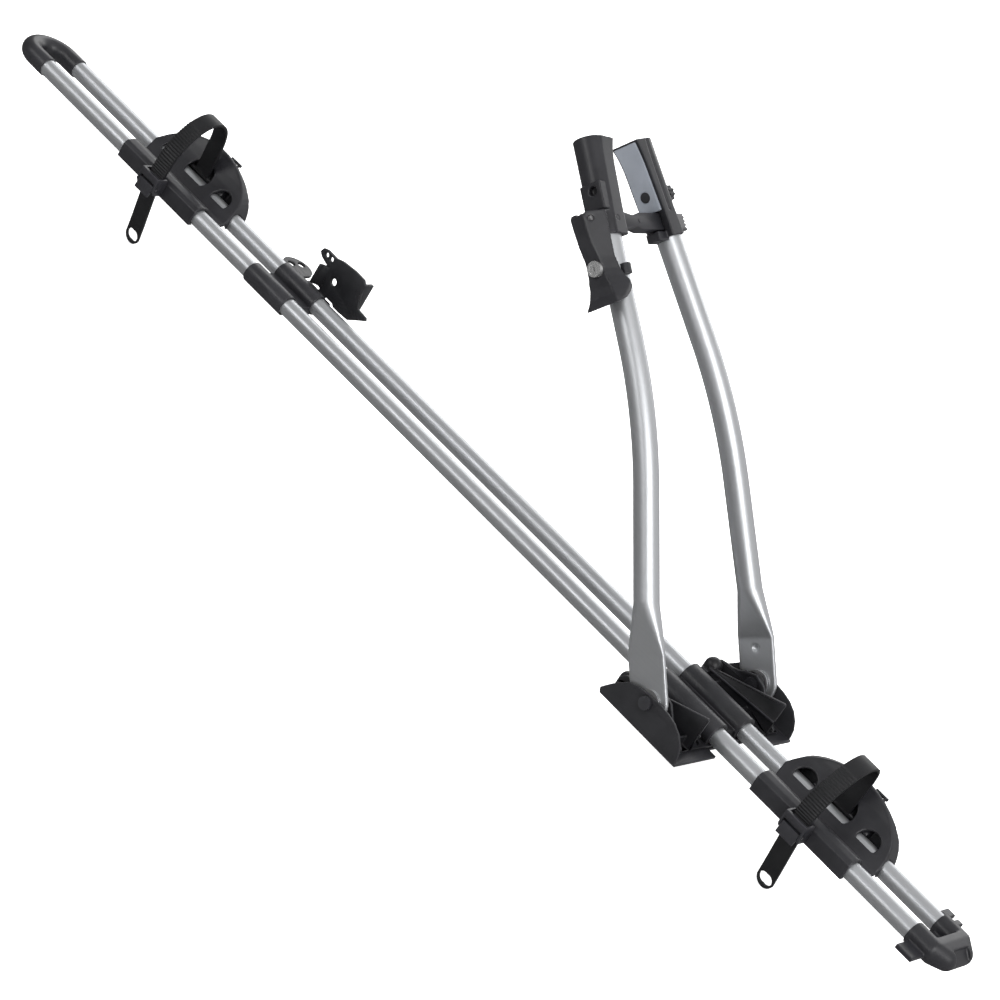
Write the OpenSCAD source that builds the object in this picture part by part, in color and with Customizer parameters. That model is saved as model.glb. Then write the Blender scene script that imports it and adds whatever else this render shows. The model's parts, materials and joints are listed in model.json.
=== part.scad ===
// Roof mounted bike carrier: a two tube wheel tray with sliding wheel holders, a rear foot with a swinging
// claw, and a folding pair of arms whose jaws grip the bicycle frame. Millimetres, +X to the front, +Z up.
// The origin is the middle of the four bolt holes under the base, on the face that rests on the load bar.

/* [Tray] */
// Outside diameter of the two tray tubes
tube_d = 20; // [16:0.5:26]
// Wall of the tray tubes
tube_wall = 1.5; // [1:0.1:3]
// Distance between the tube axes
tube_pitch = 50; // [40:1:70]
// Height of the tube axes above the load bar
tube_h = 15; // [14:0.5:30]
// Where the rear end cap begins
tray_rear = -1083; // [-1200:1:-900]
// Where the front end cap begins
tray_front = 317; // [260:1:420]
// Radius of the rear U cap
rear_cap_r = 11.4; // [10.5:0.1:14]
// Straight length of the rear cap's legs
rear_cap_leg = 22; // [15:1:40]
// Radius of the front cap's sockets
front_cap_r = 12.6; // [11.5:0.1:15]
// Length of the front cap from rim to nose
front_cap_l = 51; // [40:1:70]
// Depth that the tubes go into the caps
cap_plug = 18; // [10:1:30]

/* [Wheel holders] */
// Middle of the rear wheel holder
rear_holder_x = -866; // [-1000:1:-800]
// Middle of the front wheel holder
front_holder_x = 169; // [130:1:200]
// Length of the holder's sleeve over the left tube
holder_l = 129; // [110:1:150]
// Radius of the arched top of the wing
wing_arch_r = 100; // [90:1:130]
// Radius of the rounded ends of the wing
wing_end_r = 45; // [35:1:50]
// Length of the wing
wing_l = 152; // [140:1:160]
// Thickness of the wing's end skirt
skirt_t = 2.4; // [1.5:0.1:4]
// Height of the top of the wing above the tube axes
wing_top = 46; // [35:1:55]
// Distance between the windows in the wing
window_pitch = 45; // [40:1:50]
// Radius of the outer windows
window_r = 12.5; // [9:0.5:14]
// Radius of the window that the strap goes through
strap_window_r = 17.5; // [15:0.5:19]
// Height of the top of the rear strap's loop above the tube axes
rear_loop = 84; // [70:0.5:95]
// Height of the top of the front strap's loop above the tube axes
front_loop = 73.5; // [66:0.5:95]
// How far the top of the rear strap's loop leans to the right
rear_loop_lean = -5; // [-8:0.5:8]
// How far the top of the front strap's loop leans to the right
front_loop_lean = 8; // [-8:0.5:8]
// Width of the wheel strap
strap_w = 21; // [18:0.5:26]
// Thickness of the wheel strap
strap_t = 3; // [2:0.1:4]
// Height of the strap's teeth
strap_tooth = 1.2; // [0.5:0.1:1.6]
// Radius of the finger hole in the strap's tail
tail_hole_r = 6.5; // [4:0.5:8]
// Radius of the buckle pin
buckle_pin_r = 1.5; // [1:0.1:2.5]
// Radius of the wire of the strap keeper
keeper_r = 1.8; // [1:0.1:2.5]

/* [Rear foot] */
// Middle of the rear foot
foot_x = -676; // [-760:1:-500]
// Length of the foot's sleeves
foot_l = 62; // [50:1:90]
// Radius of the foot's sleeves
foot_r = 12.2; // [12:0.1:16]
// Thickness of the foot's seat pad
foot_pad_t = 3; // [2:0.5:5]
// Thickness of the steel bracket and claw
claw_t = 4; // [2:0.5:5]
// Radius of the claw's hinge pin
claw_pin_r = 2.5; // [2:0.1:4]

/* [Base] */
// Half the length of the base's floor
base_hx = 56; // [50:1:70]
// Half the width over the base's side plates
base_hy = 105.5; // [95:0.5:120]
// Thickness of the cradle's sheet steel
sheet_t = 2.5; // [2:0.1:4]
// Radius of the base's sleeves
sleeve_r = 14.5; // [13:0.1:17]
// Distance between the load bar bolt holes along the tray
bolt_dx = 64; // [56:1:80]
// Distance between the load bar bolt holes across the tray
bolt_dy = 100; // [90:1:106]
// Radius of the load bar bolt holes
bolt_hole_r = 3.3; // [2.6:0.1:4.3]

/* [Arms] */
// Position of the fold axis along the tray
pivot_x = -6; // [-10:0.5:5]
// Height of the fold axis above the load bar
pivot_z = 28; // [27:0.5:32]
// Radius of the pivot bolts
pivot_r = 4; // [3:0.1:6]
// Lean of the lower arm above the tray, in degrees
arm_lean = 48; // [40:0.5:60]
// Inward tilt of the arms, in degrees
arm_tilt = 6.4; // [5:0.1:8]
// Outside diameter of the arm tubes
arm_d = 26; // [24:0.5:32]
// Wall of the arm tubes
arm_wall = 2; // [1.5:0.1:3]
// Straight length of the lower arm from the pivot
arm_low = 206; // [180:1:240]
// Radius of the bend in the arm
arm_bend_r = 600; // [400:10:900]
// Angle of the bend in the arm, in degrees
arm_bend = 14; // [8:0.5:20]
// Straight length from the bend to the jaw
arm_high = 107; // [80:1:130]
// Thickness of the flattened blade at the foot of the arm
blade_t = 5; // [4:0.5:6]
// Width of the blade
blade_w = 42; // [36:1:46]

/* [Head] */
// Length of the jaws
jaw_l = 102.5; // [80:0.5:120]
// Half the width of the jaws along the bicycle's frame tube
jaw_n = 15.6; // [14.2:0.1:18]
// Length of the jaw pads
pad_l = 72; // [50:1:72]
// Width of the jaw pads
pad_w = 25; // [18:0.5:27]
// Height of the link between the jaws
link_h = 18; // [12:0.5:19]
// Depth of the link
link_n = 13; // [12:0.5:19]
// Radius of the link's pin and the lever's pin
head_pin_r = 2.5; // [2:0.1:3]
// Radius of the lock's collar
lock_r = 8; // [6:0.1:9]

/* [Fits] */
// Clearance of a part fixed on another
fixed_gap = 0.05; // [0.02:0.01:0.1]
// Clearance of a part that slides or swings
move_gap = 0.3; // [0.25:0.05:0.6]
// Radial clearance of a turning fit
run_gap = 0.06; // [0.01:0.01:0.1]

/* [Hidden] */
$fn = 64;
tube_r = tube_d / 2;
ty = tube_pitch / 2;
slide_r = tube_r + move_gap;
black = [0.09, 0.09, 0.1];
steel_black = [0.13, 0.13, 0.14];
alu = [0.78, 0.79, 0.8];
grey = [0.68, 0.69, 0.71];
bright = [0.82, 0.82, 0.83];
arch_z = wing_top - wing_arch_r;
wing_end_x = wing_l / 2 - wing_end_r;
wing_turn = acos(wing_end_x / (wing_arch_r - wing_end_r));
wing_end_z = arch_z + (wing_arch_r - wing_end_r) * sin(wing_turn);
plate_in = base_hy - sheet_t;
blade_y = plate_in - 4.5;
lug_out = blade_y - blade_t / 2 - 3;
lug_in = lug_out - 10.4;
wall_y = lug_in + 1.4;
hub_r = 8;
screw_x = 28;
screw_y = lug_in - 2.6;
buckle_hx = strap_w / 2 + 3.8;
buckle_y = -ty - 24;
arm_r = arm_d / 2;
arm_lap = 0.06;
bend_x = -(arm_low - 45);
bend_end_x = bend_x - arm_bend_r * sin(arm_bend);
bend_end_z = -arm_bend_r * (1 - cos(arm_bend));
head_x = bend_end_x - arm_high * cos(arm_bend);
head_z = bend_end_z - arm_high * sin(arm_bend);
mid_x = -45 + head_x * cos(arm_tilt);
jaw_y = blade_y + head_x * sin(arm_tilt);
pad_u = 28;
face_k = 0.045;
bolt_u = 45;
wheel_r = 10;
hook_l = 30;
hook_h = 4.8;
fan_l = 26;
fan_h = 1;
link_u = 16;
link_y0 = link_u * sin(arm_tilt) - jaw_y;
link_y1 = jaw_y + 30;
link_gap = 1.3;
lever_u = 15;
lever_v = 32;
lug_z0 = -8;
lug_w = 9;
lock_u = -34;
lock_n = -5.5;
claw_y = ty + 24.5;
claw_z = -5;

// A prism along X from an outline in Y and Z
module along_x(l) {
    rotate([90, 0, 90])
        linear_extrude(height = l, center = true)
            children();
}

// A prism along Y from an outline in X and Z
module along_y(l) {
    rotate([90, 0, 0])
        linear_extrude(height = l, center = true)
            children();
}

// A round bar along X from x0 to x1
module bar_x(x0, x1, r) {
    translate([x0, 0, 0])
        rotate([0, 90, 0])
            cylinder(r = r, h = x1 - x0);
}

// A round bar along Y from y0 to y1
module bar_y(y0, y1, r) {
    translate([0, y0, 0])
        rotate([-90, 0, 0])
            cylinder(r = r, h = y1 - y0);
}

// The same shape on the left side
module left_side() {
    mirror([0, 1, 0])
        children();
}

// Tray

module tray_tube(side) {
    l0 = tray_rear - cap_plug;
    l1 = tray_front + cap_plug;
    color(alu)
        translate([0, side * ty, tube_h])
            difference() {
                bar_x(l0, l1, tube_r);
                bar_x(l0 - 1, l1 + 1, tube_r - tube_wall);
            }
}

module left_tube() tray_tube(-1);

module right_tube() tray_tube(1);

module rear_end_cap() {
    color(black)
        translate([tray_rear, 0, tube_h])
            difference() {
                union() {
                    for (s = [-1, 1])
                        translate([0, s * ty, 0])
                            bar_x(-rear_cap_leg, 0, rear_cap_r);
                    translate([-rear_cap_leg, 0, 0])
                        rotate([0, 0, 90])
                            rotate_extrude(angle = 180)
                                translate([ty, 0])
                                    circle(r = rear_cap_r);
                }
                for (s = [-1, 1])
                    translate([0, s * ty, 0])
                        bar_x(-cap_plug - 0.5, 1, tube_r + fixed_gap);
            }
}

module front_end_cap() {
    sock = 26;
    color(black)
        translate([tray_front, 0, tube_h])
            difference() {
                union() {
                    for (s = [-1, 1])
                        translate([0, s * ty, 0])
                            bar_x(0, sock, front_cap_r);
                    hull() {
                        for (s = [-1, 1]) {
                            translate([sock - 4, s * ty, 0])
                                rotate([0, 90, 0])
                                    cylinder(r = front_cap_r, h = 8, $fn = 32);
                            translate([front_cap_l - 12, s * 15, -1])
                                sphere(r = 11.6, $fn = 32);
                        }
                    }
                    translate([6, -ty, -11])
                        cube([sock, tube_pitch, 8]);
                    translate([6, -60, -7])
                        cube([21, 30, 5]);
                    translate([-9, 33, 2])
                        cube([11, 17, 5]);
                    translate([6, 33, 2])
                        cube([8, 15, 5]);
                    translate([-9, 33, 2])
                        cube([23, 6, 5]);
                }
                for (s = [-1, 1])
                    translate([0, s * ty, 0])
                        bar_x(-12, cap_plug + 0.5, tube_r + fixed_gap);
                translate([front_cap_l - 12, -13, 8.4])
                    rotate([0, 40, 0])
                        cube([30, 27, 30]);
            }
}

// Wheel holders, straps and buckles, drawn about the middle of the holder on the tube axes

// Points of an outline drawn about the left or the right tube's axis
function by_left(pts) = [for (p = pts) [p[0] - ty, p[1]]];
function by_right(pts) = [for (p = pts) [p[0] + ty, p[1]]];

holder_section = concat(
    by_left([[-12.5, -9.5], [-12.5, 8], [-8.5, 12], [0, 13.8], [8, 12.2], [14, 5.5]]),
    [[-6, 0.5], [0, -1.5], [6, 0.5]],
    by_right([[-13, 5.8], [-7, 11], [-1, 16.5], [5, 23.5], [11, 32], [16, 41], [18.5, wing_top + 1],
              [21.5, wing_top], [20.5, 34], [19, 20], [16.5, 6], [13.5, -7],
              [10.8, -6.2], [13.7, 7], [16, 20], [17.2, 30], [16.2, 33.5], [13.5, 30.3], [7.3, 21.6],
              [1.2, 14.4], [-4.5, 8.8], [-11, 2.5]]),
    [[7, -3.5], [0, -4.8], [-6, -4.6]],
    by_left([[14, -5], [11.5, -9.5]])
);
holder_plan = concat(
    [for (p = [[-1, -16], [1, -16], [1, 10]]) [p[0] * holder_l / 2, p[1] - ty]],
    [for (p = [[0, -22], [0, 30]]) [wing_l / 2 - 1 + p[0], p[1] + ty]],
    [for (p = [[0, 30], [4, -5], [9, -21]]) [p[0] - wing_l / 2, p[1] + ty]],
    [[-holder_l / 2, 10 - ty]]
);
rib_section = by_right([
    [-13, -7], [13, -7], [15.5, 8], [17.5, 26], [16, 33], [8, 23.5], [-6, 10.5], [-16, -1]
]);
// Distance of the wing's inner ribs from its middle
rib_x = 35;

// Points along an arc
function arc(x, z, r, a0, a1, n) =
    [for (k = [0:n - 1]) let (a = a0 + (a1 - a0) * k / n) [x + r * cos(a), z + r * sin(a)]];

// The wing's outline from the side, drawn in by a distance
module wing_arch(inset) {
    end_r = wing_end_r - inset;
    rotate([90, 0, 0])
        linear_extrude(height = 140, center = true)
            polygon(concat(
                arc(wing_end_x, wing_end_z, end_r, -40, wing_turn, 12),
                arc(0, arch_z, wing_arch_r - inset, wing_turn, 180 - wing_turn, 16),
                arc(-wing_end_x, wing_end_z, end_r, 180 - wing_turn, 228, 13)
            ));
}

// One window through the slope of the wing
module wing_window(x, r, rise) {
    translate([x, ty - 9.5, 8.5])
        rotate([46, 0, 0])
            intersection() {
                translate([0, rise, -7])
                    cylinder(r = r, h = 14);
                translate([-30, 0, -8])
                    cube([60, 60, 16]);
            }
}

module wheel_holder(x) {
    color(black)
        translate([x, 0, tube_h])
            difference() {
                intersection() {
                    union() {
                        along_x(160)
                            polygon(holder_section);
                        for (s = [-1, 1])
                            translate([s * rib_x, 0, 0])
                                along_x(5)
                                    polygon(rib_section);
                        difference() {
                            along_x(160)
                                polygon(rib_section);
                            wing_arch(skirt_t);
                        }
                    }
                    translate([0, 0, -20])
                        linear_extrude(height = 80)
                            polygon(holder_plan);
                    wing_arch(0);
                }
                for (s = [-1, 1])
                    translate([0, s * ty, 0])
                        bar_x(-90, 90, slide_r);
                wing_window(-window_pitch, window_r, 5);
                wing_window(0, strap_window_r, 9.5);
                wing_window(window_pitch, window_r, 5);
            }
}

module rear_wheel_holder() wheel_holder(rear_holder_x);

module front_wheel_holder() wheel_holder(front_holder_x);

// The strap's centre line: tail, buckle, loop over the wheel, then down through the wing
strap_path = concat(
    by_left([[-1, -83], [-3.5, -70], [-7.5, -50], [-13, -26], [-16.5, -8], [-17, 6], [-16, 22], [-11.5, 42],
             [-2, 60]]),
    [[-13.5, 75], [1, 83], [14, 82.5]],
    by_right([[-1.5, 74], [2.4, 60], [3, 44], [3, 28], [3, 14]])
);
strap_steps = 12;
strap_segs = len(strap_path) - 1;
// The height above the axes from which a loop is raised or lowered
loop_foot = 22;

loop_rise = 83 - loop_foot;

// The share of the loop's rise at a point, nothing below its foot
function rise_at(p) = max(0, p[1] - loop_foot) / loop_rise;

// The centre line with the top of its loop at a height and leaning sideways
function looped(top, lean) =
    [for (p = strap_path)
        [p[0] + lean * rise_at(p), min(p[1], loop_foot) + rise_at(p) * (top - loop_foot)]];

function clampi(i) = max(0, min(strap_segs, i));

// A point of a smooth curve through the path's points
function curve(path, i, t) =
    let (a = path[clampi(i - 1)], b = path[i], c = path[clampi(i + 1)], d = path[clampi(i + 2)])
    0.5 * ((2 * b) + (c - a) * t + (2 * a - 5 * b + 4 * c - d) * t * t
           + (3 * b - a - 3 * c + d) * t * t * t);

function strap_line(path) =
    [for (i = [0:strap_segs - 1]) for (k = [0:strap_steps - 1]) curve(path, i, k / strap_steps)];

function side_of(pts, i) =
    let (a = pts[max(0, i - 1)], b = pts[min(len(pts) - 1, i + 1)], d = (b - a) / norm(b - a))
    [-d[1], d[0]];

// Teeth stand on the outer side from the buckle to near the top of the loop
function tooth_at(i) = (i > 4.2 * strap_steps && i < 8.9 * strap_steps && i % 2 > 0) ? strap_tooth : 0;

module wheel_strap(x, top, lean) {
    tail = strap_path[1];
    pts = strap_line(looped(top, lean));
    last = len(pts) - 1;
    outer = [for (i = [0:last]) pts[i] + side_of(pts, i) * (strap_t / 2 + tooth_at(i))];
    inner = [for (i = [last:-1:0]) pts[i] - side_of(pts, i) * (strap_t / 2)];
    tilt = 11;
    color(black)
        translate([x, 0, tube_h])
            difference() {
                union() {
                    along_x(strap_w)
                        polygon(concat(outer, inner));
                    translate([0, ty + 3.8, 13.6])
                        bar_x(-21, 21, 2);
                }
                translate([0, tail[0], tail[1]])
                    rotate([tilt, 0, 0])
                        for (s = [-1, 1])
                            translate([2 * s, 0, 0])
                                bar_y(-10, 10, tail_hole_r);
                translate([0, tail[0], tail[1]])
                    rotate([tilt, 0, 0])
                        difference() {
                            translate([-20, -10, -30])
                                cube([40, 20, 28]);
                            bar_y(-11, 11, strap_w / 2);
                            translate([-30, -11, -2.1])
                                cube([60, 22, 10]);
                        }
            }
}

module rear_wheel_strap() wheel_strap(rear_holder_x, rear_loop, rear_loop_lean);

module front_wheel_strap() wheel_strap(front_holder_x, front_loop, front_loop_lean);

module buckle(x) {
    wall = -ty - 12.5 - fixed_gap;
    color(black)
        translate([x, 0, tube_h])
            difference() {
                union() {
                    translate([-buckle_hx, wall - 1.8, -8])
                        cube([2 * buckle_hx, 1.8, 14]);
                    for (s = [-1, 1])
                        translate([s * (buckle_hx - 1.3) - 1.3, 0, 0])
                            rotate([90, 0, 90])
                                linear_extrude(height = 2.6)
                                    polygon(concat([[wall, -8], [wall, 6]], by_left([[-14, 13], [-27, 13],
                                            [-29, 9], [-29, -3], [-25, -8]])));
                    translate([-buckle_hx, -ty - 29, 5])
                        cube([2 * buckle_hx, 4, 8]);
                }
                translate([0, buckle_y, -0.5])
                    bar_x(-30, 30, buckle_pin_r + 0.02);
            }
}

module rear_buckle() buckle(rear_holder_x);

module front_buckle() buckle(front_holder_x);

module buckle_pawl(x) {
    color(black)
        translate([x, 0, tube_h])
            difference() {
                along_x(2 * buckle_hx - 6)
                    polygon(by_left([[-28.5, 1.8], [-22.2, 2], [-20.3, 0.8], [-21.5, -2.5], [-25.6, -4.5],
                                     [-26, -8.5], [-28.2, -12.5], [-29.8, -12], [-29, -8]]));
                translate([0, buckle_y, -0.5])
                    bar_x(-30, 30, buckle_pin_r + run_gap);
            }
}

module rear_buckle_pawl() buckle_pawl(rear_holder_x);

module front_buckle_pawl() buckle_pawl(front_holder_x);

module buckle_pin(x) {
    color(bright)
        translate([x, buckle_y, tube_h - 0.5])
            bar_x(-buckle_hx - 0.1, buckle_hx + 0.1, buckle_pin_r);
}

module rear_buckle_pin() buckle_pin(rear_holder_x);

module front_buckle_pin() buckle_pin(front_holder_x);

module strap_keeper(x) {
    color(steel_black)
        translate([x, 0, tube_h])
            difference() {
                translate([0, ty + 19, 37.5])
                    rotate([-42, 0, 0]) {
                        for (k = [13, 24])
                            translate([k, 0, 0])
                                cylinder(r = keeper_r - 0.2, h = 8);
                        translate([0, 0, 8])
                            bar_x(13 - 1.4 * keeper_r, 24 + 1.4 * keeper_r, keeper_r);
                    }
                translate([-10, ty + 20.2 + fixed_gap, 30])
                    rotate([-4.8, 0, 0])
                        translate([0, -30, -10])
                            cube([60, 30, 50]);
            }
}

module rear_strap_keeper() strap_keeper(rear_holder_x);

module front_strap_keeper() strap_keeper(front_holder_x);

// Rear foot, drawn about its middle on the tube axes

module foot_frame() {
    translate([foot_x, 0, tube_h])
        children();
}

module rear_foot() {
    color(black)
        foot_frame()
            difference() {
                union() {
                    for (s = [-1, 1])
                        translate([0, s * ty, 0])
                            bar_x(-foot_l / 2, foot_l / 2, foot_r);
                    translate([-foot_l / 2, -ty, -11])
                        cube([foot_l, tube_pitch, 9]);
                    translate([-26, 11 - ty, foot_pad_t - tube_h])
                        cube([52, tube_pitch, 8]);
                    translate([-24, ty + 5, -10])
                        cube([48, 11, 6]);
                }
                for (s = [-1, 1])
                    translate([0, s * ty, 0])
                        bar_x(-50, 50, slide_r);
                translate([-40, -60, -40])
                    cube([80, 120, 25 + foot_pad_t]);
            }
}

module foot_pad() {
    color(grey * 0.25)
        foot_frame()
            translate([-26, 11 - ty, -tube_h])
                cube([52, tube_pitch, foot_pad_t - fixed_gap]);
}

module foot_bracket() {
    color(steel_black)
        foot_frame()
            difference() {
                union() {
                    translate([-24, ty + 13.5, -4 + fixed_gap])
                        cube([50, 4, claw_t - 1]);
                    translate([-24, ty + 16 + fixed_gap, -10])
                        cube([50, 2.4, 8]);
                    translate([-46, ty + 15, -4 + fixed_gap])
                        cube([23, 22, claw_t - 1]);
                    translate([-41, ty + 37, -4 + fixed_gap])
                        cylinder(r = 18, h = claw_t - 1);
                    for (k = [-24, 16]) {
                        translate([k, claw_y, claw_z])
                            bar_x(0, 10, 5);
                        translate([k, ty + 17, claw_z - 5])
                            cube([10, claw_y - ty - 17, 8]);
                    }
                }
                translate([0, claw_y, claw_z])
                    bar_x(-40, 40, claw_pin_r + 0.02);
                for (k = [0, 1])
                    translate([-47 + 3 * k, ty + 32 + 14 * k, -10])
                        cylinder(r = 4.5, h = 20);
            }
}

module claw_pin() {
    color(bright)
        foot_frame()
            translate([0, claw_y, claw_z])
                bar_x(-24.5, 26.5, claw_pin_r);
}

claw_outline = [
    [9, 1], [5, 12], [4, 20], [0, 29], [-14, 33], [-19, 37], [-17, 42.5], [-10, 44.5], [4, 44], [13, 47],
    [33, 49], [48, 48.5], [52, 45], [52.5, 33], [56, 26], [60, 18], [74, 17], [76, 14], [64, 6], [55, -0.5],
    [40, -1.5], [31, -1.5], [28, 1], [24, 1]
];

module rear_claw() {
    color(steel_black)
        foot_frame()
            difference() {
                union() {
                    translate([0, claw_y + 4, 0])
                        along_y(claw_t)
                            polygon(claw_outline);
                    translate([49, claw_y + 3, 4])
                        cube([claw_t, 16, 40]);
                    translate([7, claw_y - 8, 5])
                        rotate([0, 0, 84])
                            rotate_extrude(angle = 88)
                                translate([10.4, 0])
                                    square([3.2, 25]);
                    translate([8, claw_y - 1, -1])
                        rotate([-35, 0, 0])
                            cube([6, claw_t + 1, 3]);
                    translate([-13.4, claw_y, claw_z])
                        bar_x(0, 28.8, 5);
                    translate([-13.4, claw_y, claw_z])
                        cube([28.8, 5, 6]);
                    translate([4, claw_y + 2, claw_z + 1])
                        cube([11, claw_t, 12]);
                }
                translate([0, claw_y, claw_z])
                    bar_x(-40, 40, claw_pin_r + run_gap);
                translate([16, 0, 21])
                    bar_y(0, 90, 4);
                for (k = [0, 8])
                    translate([-9 + k, 0, 39])
                        bar_y(0, 90, 2.6);
            }
}

// Base

plate_outline = [
    [-55.5, 3.5], [-55.5, 5.5], [-47, 17], [-33.5, 31], [-22, 35.2], [-10, 36.6], [8, 37.6], [20, 36.5],
    [31, 34], [41, 29], [48, 22], [52.5, 14], [54, 6], [54, 0], [-53, 0]
];

module base_cradle() {
    color(steel_black)
        difference() {
            union() {
                translate([-53, -base_hy, 0])
                    cube([53 + base_hx, 2 * base_hy, 3]);
                for (s = [-1, 1])
                    translate([0, s * (base_hy - sheet_t / 2), 0])
                        along_y(sheet_t)
                            polygon(plate_outline);
            }
            for (i = [-1, 1])
                for (j = [-1, 1]) {
                    translate([i * bolt_dx / 2, j * bolt_dy / 2, -1])
                        cylinder(r = bolt_hole_r, h = 6);
                    translate([i * screw_x, j * screw_y, -1])
                        cylinder(r = 2.52, h = 6);
                    translate([i * screw_x, j * screw_y, -1])
                        cylinder(r = 4.6, h = 2.6);
                }
            translate([pivot_x, 0, pivot_z])
                bar_y(-base_hy - 9, base_hy + 9, pivot_r + fixed_gap);
            translate([base_hx - 11, -ty - 8, -1])
                cube([20, tube_pitch + 28, 6]);
        }
}

// One side of the body: gussets, lug for the fold pivot, rear post
module base_wing() {
    translate([0, 69.7, 0])
        along_y(2.8)
            polygon([[-46, 4], [-46, 17], [-38, 20], [43, 46], [44.5, 44], [44, 4]]);
    translate([0, 67.2, 0])
        along_y(3.4)
            polygon([[-46, 15], [-46, 17.5], [44.5, 24.5], [44.5, 22]]);
    translate([0, wall_y, 0])
        along_y(3)
            polygon([[-54, 4], [-54, 17], [-48, 24], [-40, 26], [-32, 27], [-25, 30], [-18, 35], [-6, 40],
                     [8, 36], [24, 20], [43, 9], [44, 4]]);
    translate([pivot_x, 0, pivot_z])
        bar_y(lug_in, lug_out, 11);
    translate([pivot_x - 11, lug_in, 4])
        cube([22, lug_out - lug_in, pivot_z - 4]);
    translate([-48, 76, 3.2])
        cylinder(r = 9.4, h = 13);
    translate([-48, 76, 16.2])
        sphere(r = 9.4);
    translate([-53, 64, 3.1])
        cube([9, 24, 10]);
    translate([-44, 36, 3.1])
        cube([88, lug_out - 36, 3.4]);
    for (k = [-30, 10])
        translate([k, 38, 4])
            cube([2.4, 31, 10]);
    for (k = [-34, 32])
        translate([k, 70, 4])
            cube([2.4, wall_y - 70, 12]);
}

// The way for one pivot bolt and its nut
module pivot_way() {
    translate([pivot_x, 0, pivot_z]) {
        bar_y(lug_in - 3, base_hy + 9, pivot_r + fixed_gap);
        bar_y(lug_in - 0.1, lug_in + 4.5, 7.5);
    }
}

module base_body() {
    color(black)
        difference() {
            union() {
                base_wing();
                left_side()
                    base_wing();
                for (s = [-1, 1])
                    translate([0, s * ty, tube_h])
                        bar_x(-44, 41, sleeve_r);
                translate([-42, -ty, 3.1])
                    cube([80, tube_pitch, 12]);
                translate([-44, -38, 3.1])
                    cube([88, 76, 3.4]);
            }
            for (s = [-1, 1])
                translate([0, s * ty, tube_h])
                    bar_x(-60, 60, tube_r + fixed_gap);
            translate([-80, -150, -20])
                cube([160, 300, 23 + fixed_gap]);
            pivot_way();
            left_side()
                pivot_way();
            for (i = [-1, 1])
                for (j = [-1, 1]) {
                    translate([i * bolt_dx / 2, j * bolt_dy / 2, -1])
                        cylinder(r = 8, h = 30);
                    translate([i * screw_x, j * screw_y, -1])
                        cylinder(r = 2.52, h = 9);
                }
        }
}

module base_screws() {
    color(bright)
        for (i = [-1, 1])
            for (j = [-1, 1]) {
                translate([i * screw_x, j * screw_y, 0.1])
                    cylinder(r = 4.5, h = 1.45);
                translate([i * screw_x, j * screw_y, 0.1])
                    cylinder(r = 2.5, h = 7.8);
            }
}

// Fold pivots: bolt and nut fixed in the base, bush and washer turning with the arm

module pivot_bolt_r() {
    color(bright)
        translate([pivot_x, 0, pivot_z])
            union() {
                bar_y(lug_in - 0.6, base_hy + 1, pivot_r);
                bar_y(base_hy + fixed_gap, base_hy + 3.2, 7);
                bar_y(lug_in, lug_in + 4.3, 7.3);
            }
}

module right_pivot_bolt() pivot_bolt_r();

module left_pivot_bolt() left_side() pivot_bolt_r();

module pivot_bush_r() {
    color(bright)
        translate([pivot_x, 0, pivot_z])
            difference() {
                union() {
                    bar_y(lug_out + move_gap, blade_y + blade_t / 2 + 0.4, hub_r);
                    bar_y(lug_out + move_gap, blade_y - blade_t / 2 - 0.6, 13);
                }
                bar_y(lug_in, base_hy, pivot_r + run_gap);
            }
}

module right_pivot_bush() pivot_bush_r();

module left_pivot_bush() left_side() pivot_bush_r();

module pivot_washer_r() {
    color(bright)
        translate([pivot_x, 0, pivot_z])
            difference() {
                bar_y(blade_y + blade_t / 2 + 0.45, plate_in - 0.35, 13);
                bar_y(lug_in, base_hy, pivot_r + run_gap);
            }
}

module right_pivot_washer() pivot_washer_r();

module left_pivot_washer() left_side() pivot_washer_r();

// Arms: drawn lying along -X from the pivot, then leaned up

module arm_frame() {
    translate([pivot_x, 0, pivot_z])
        rotate([0, arm_lean, 0])
            children();
}

module tilt_frame() {
    arm_frame()
        translate([-45, blade_y, 0])
            rotate([0, 0, arm_tilt])
                children();
}

module head_frame() {
    tilt_frame()
        translate([head_x, 0, head_z])
            rotate([0, -arm_bend, 0])
                mirror([1, 0, 0])
                    children();
}

module mid_frame() {
    arm_frame()
        translate([mid_x, 0, head_z])
            rotate([0, -arm_bend, 0])
                mirror([1, 0, 0])
                    children();
}

// A length of the arm's tube along X
module arm_piece(x0, x1) {
    difference() {
        bar_x(x0, x1, arm_r);
        bar_x(x0 - 1, x1 + 1, arm_r - arm_wall);
    }
}

// The round run of the arm: straight, bent, straight, lapped by a millimetre where they join
module arm_run() {
    arm_piece(bend_x - 1, -50);
    translate([bend_x, 0, -arm_bend_r])
        rotate([90, 0, 0])
            rotate([0, 0, 90])
                rotate_extrude(angle = arm_bend, $fn = 360)
                    translate([arm_bend_r, 0])
                        difference() {
                            circle(r = arm_r - arm_lap, $fn = 64);
                            circle(r = arm_r - arm_wall + arm_lap, $fn = 64);
                        }
    translate([bend_end_x, 0, bend_end_z])
        rotate([0, -arm_bend, 0])
            arm_piece(-arm_high - 4, 1);
}

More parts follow.
